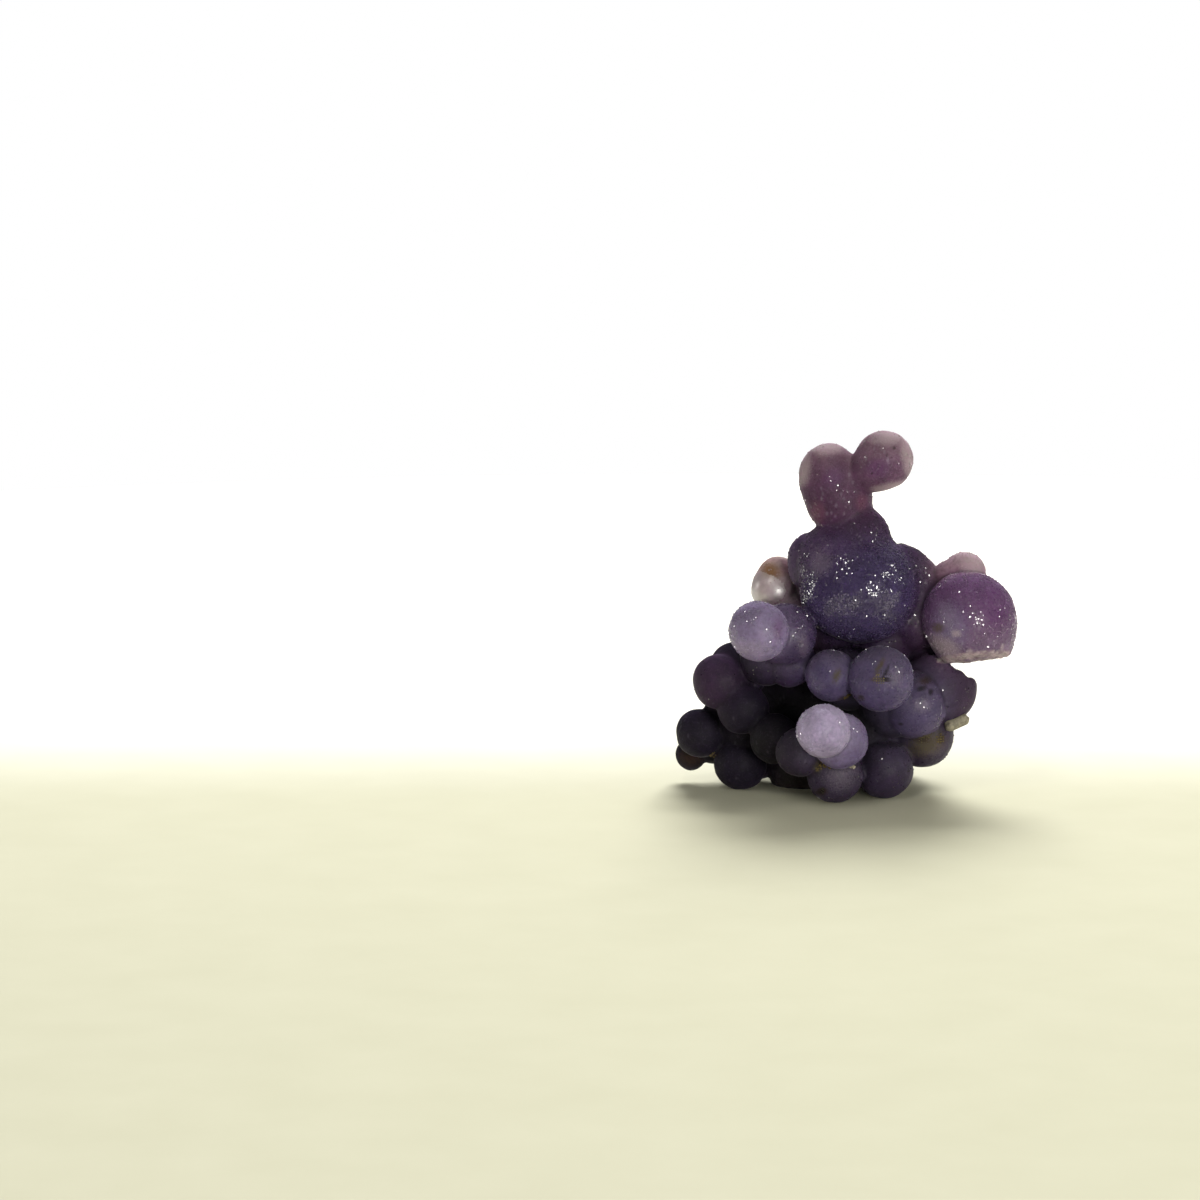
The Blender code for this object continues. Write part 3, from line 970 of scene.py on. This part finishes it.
def make_druse(mesh, points, normals, marks):
    """Crystals all over the skin, but not on stains, in the creases or under the balls."""
    draw = np.random.default_rng(DRUSE_SEED)
    clean = 1 - np.clip(sum(marks[kind] for kind in (*DIRT, "crust")) * 2, 0, 1)
    open_skin = 1 - np.clip(marks["crease"] * 1.5, 0, 1)
    patchy = np.clip(0.75 + 0.9 * field(points, 2.2, 9.1), 0.15, 1.6)
    under = 1 - np.clip((UNDER_START - normals[:, 2]) / UNDER_FADE, 0, 1)
    wanted = marks["druse"] * clean * open_skin * patchy * under
    corners = face_corners(mesh)
    area = np.empty(len(mesh.polygons))
    mesh.polygons.foreach_get("area", area)
    chance = face_means(mesh, wanted) * area / MM**2
    count = draw.poisson(chance)
    face = np.repeat(np.arange(len(corners)), count)
    draw.shuffle(face)
    weight = draw.dirichlet((1, 1, 1, 1), len(face))
    chosen = corners[face]
    where = (points[chosen] * weight[..., None]).sum(axis=1)
    ways = (normals[chosen] * weight[..., None]).sum(axis=1)
    ways /= np.linalg.norm(ways, axis=1, keepdims=True)
    own = {name: marks[name][chosen[:, 0]] for name in TINTING}
    material = druse_material()
    for number, start in enumerate(range(0, len(face), CRYSTALS_PER_PIECE)):
        part = slice(start, start + CRYSTALS_PER_PIECE)
        chosen_marks = {name: values[part] for name, values in own.items()}
        made = mesh_of(f"druse_{number}", *crystals(where[part], ways[part], chosen_marks, draw))
        made.materials.append(material)
        add_piece(made, f"druse_{number}")


def grains(cluster, points, normals, draw):
    """Jittered eight-sided grains where the clay sits."""
    shape = np.array([(1, 0, 0), (-1, 0, 0), (0, 1, 0), (0, -1, 0), (0, 0, 1), (0, 0, -1)], float)
    faces = np.array([
        (0, 2, 4), (2, 1, 4), (1, 3, 4), (3, 0, 4), (2, 0, 5), (1, 2, 5), (3, 1, 5), (0, 3, 5),
    ])
    made, corners, tints = [], [], []
    for name, right, up, spread, count, size, code in GRAINS:
        index = cluster.names.index(name)
        radius = cluster.halves[index, 0]
        depth = math.sqrt(max(radius**2 - right**2 - up**2, 0.1))
        middle = cluster.centres[index] + np.array((right, -depth, up))
        near = np.flatnonzero(np.linalg.norm(points - middle, axis=1) < spread)
        for vertex in draw.choice(near, min(count, len(near)), replace=False):
            own = size * draw.uniform(*GRAIN_SIZES)
            turn = np.linalg.qr(draw.normal(size=(3, 3)))[0]
            lump = (shape * draw.uniform(*GRAIN_CORNERS, (6, 1)) * own) @ (turn * np.linalg.det(turn))
            corners.append(faces + 6 * len(made))
            made.append(lump + points[vertex] + normals[vertex] * own * GRAIN_RISE)
            tints.append(np.tile(np.array(linear(code)) * draw.uniform(*GRAIN_TONES), (6, 1)))
    return np.concatenate(made), np.concatenate(corners), {"tint": np.concatenate(tints)}


def make_rod():
    """The loose rod: a rough capsule."""
    start, end = (Vector(point) for point in ROD_ENDS)
    along = end - start
    bm = bmesh.new()
    made = bmesh.ops.create_icosphere(bm, subdivisions=4, radius=ROD_THICKNESS / 2)["verts"]
    half = along.length / 2 - ROD_THICKNESS / 2
    turn = along.to_track_quat("Z", "Y").to_matrix().to_4x4()
    for vert in made:
        rough = 1 + 0.2 * noise.noise(vert.co * 2.2) + 0.07 * noise.noise(vert.co * 6)
        vert.co *= rough
        vert.co.z += math.copysign(half, vert.co.z)
    bm.transform(Matrix.Scale(MM, 4) @ Matrix.Translation((start + end) / 2) @ turn)
    mesh = bpy.data.meshes.new("pale_rod")
    bm.to_mesh(mesh)
    bm.free()
    mesh.shade_smooth()
    mesh.materials.append(rod_material())
    add_piece(mesh, "pale_rod")


def rod_material():
    """Pale, slightly streaked stone."""
    made, nodes, shader, place = new_material("pale_stone")
    streak = nodes.ramp(nodes.noise(0.4, place, 3.0), 0.35, 0.65)
    nodes.put(shader.inputs["Base Color"], nodes.mix(streak, *map(colour, ROD_COLOURS)))
    nodes.put(shader.inputs["Roughness"], nodes.math("MULTIPLY_ADD", nodes.noise(0.3, place), 0.3, 0.5))
    nodes.put(shader.inputs["Normal"], nodes.bump(nodes.noise(0.12, place, 3.0), 0.5, 0.04))
    return made


def make_grains(cluster, points, normals):
    """One mesh of all the clay grains."""
    draw = np.random.default_rng(GRAIN_SEED)
    mesh = mesh_of("clay_grains", *grains(cluster, points, normals, draw))
    mesh.materials.append(grain_material())
    add_piece(mesh, "clay_grains")


def floor():
    """A round pale floor, with painted shadow that darkens it in front."""
    bm = bmesh.new()
    bmesh.ops.create_circle(bm, cap_ends=True, radius=FLOOR_RADIUS, segments=96)
    mesh = bpy.data.meshes.new("floor")
    bm.to_mesh(mesh)
    bm.free()
    made, nodes, shader, place = new_material("pale_floor")
    shade = nodes.mix(nodes.noise(9.0, place, 3.0), *map(colour, FLOOR_COLOURS))
    # Painted shadow: the floor darkens towards the front
    back = nodes.ramp(nodes.add("ShaderNodeSeparateXYZ", {0: place}).outputs["Y"], *FLOOR_SHADOW_FADE)
    shade = nodes.mix(back, nodes.mix(1.0, shade, colour(FLOOR_PAINTED_SHADOW), "MULTIPLY"), shade)
    nodes.put(shader.inputs["Base Color"], shade)
    shader.inputs["Roughness"].default_value = 0.9
    shader.inputs["Specular IOR Level"].default_value = 0.1
    mesh.materials.append(made)
    new_object("floor", mesh)


def softbox(name, azimuth, elevation, distance, size, watts):
    """A square light that faces the cluster. Azimuth 0 is in front, and it grows to the right."""
    light = bpy.data.lights.new(name, "AREA")
    light.shape = "SQUARE"
    light.size = size
    light.energy = watts
    made = new_object(name, light)
    turn, rise = math.radians(azimuth), math.radians(elevation)
    way = Vector((math.sin(turn) * math.cos(rise), -math.cos(turn) * math.cos(rise), math.sin(rise)))
    made.location = Vector((0.0, 0.0, 0.02)) + way * distance
    made.rotation_euler = way.to_track_quat("Z", "Y").to_euler()
    return made


def world():
    """White where the camera sees it. It lights the cluster mostly from above and behind."""
    made = bpy.data.worlds.new("studio")
    bpy.context.scene.world = made
    made.use_nodes = True
    nodes = Nodes(made.node_tree)
    back = made.node_tree.nodes["Background"]
    way = nodes.add("ShaderNodeTexCoord").outputs["Generated"]
    facing = nodes.vector("DOT_PRODUCT", {0: way, 1: SKY_WAY}, "Value")
    glow = nodes.math("MULTIPLY_ADD", nodes.ramp(facing, -0.2, 1.0), SKY_GLOW, SKY_DIM)
    seen = nodes.add("ShaderNodeLightPath").outputs["Is Camera Ray"]
    nodes.put(back.inputs["Color"], nodes.mix(seen, glow, (1.0, 1.0, 1.0, 1.0)))


def camera():
    """The photograph's view, level with the cluster's middle but for a slight tilt."""
    data = bpy.data.cameras.new("camera")
    data.lens = LENS_MM
    data.sensor_width = SENSOR_MM
    data.clip_start = 0.01
    made = new_object("camera", data)
    way = Vector((0.0, -math.cos(ELEVATION), math.sin(ELEVATION)))
    made.location = AIM + way * DISTANCE
    made.rotation_euler = way.to_track_quat("Z", "Y").to_euler()
    bpy.context.scene.camera = made


def lights():
    """Soft light from the front and the sides, and a strong light behind."""
    front_lights = [
        softbox("front right softbox", 20, 3, 0.6, 0.24, 3.2),
        softbox("front left softbox", -40, 10, 0.7, 0.3, 0.7),
        softbox("left window", -100, 12, 0.7, 0.13, 0.5),
        softbox("top left softbox", -25, 52, 0.7, 0.12, 0.6),
        softbox("right window", 75, 28, 0.7, 0.14, 0.7),
    ]
    for light in front_lights:
        light.data.color = WARM_WHITE
    behind = softbox("back softbox", 172, 42, 0.9, 0.5, 16.5)
    for unreflected in (front_lights[1], behind):
        unreflected.visible_glossy = False


def main():
    bpy.context.scene.view_settings.view_transform = "Standard"
    camera()
    world()
    floor()
    lights()
    cluster = Cluster()
    skin, points, normals, marks = make_skin(cluster)
    make_druse(skin, points, normals, marks)
    make_grains(cluster, points, normals)
    make_rod()


main()
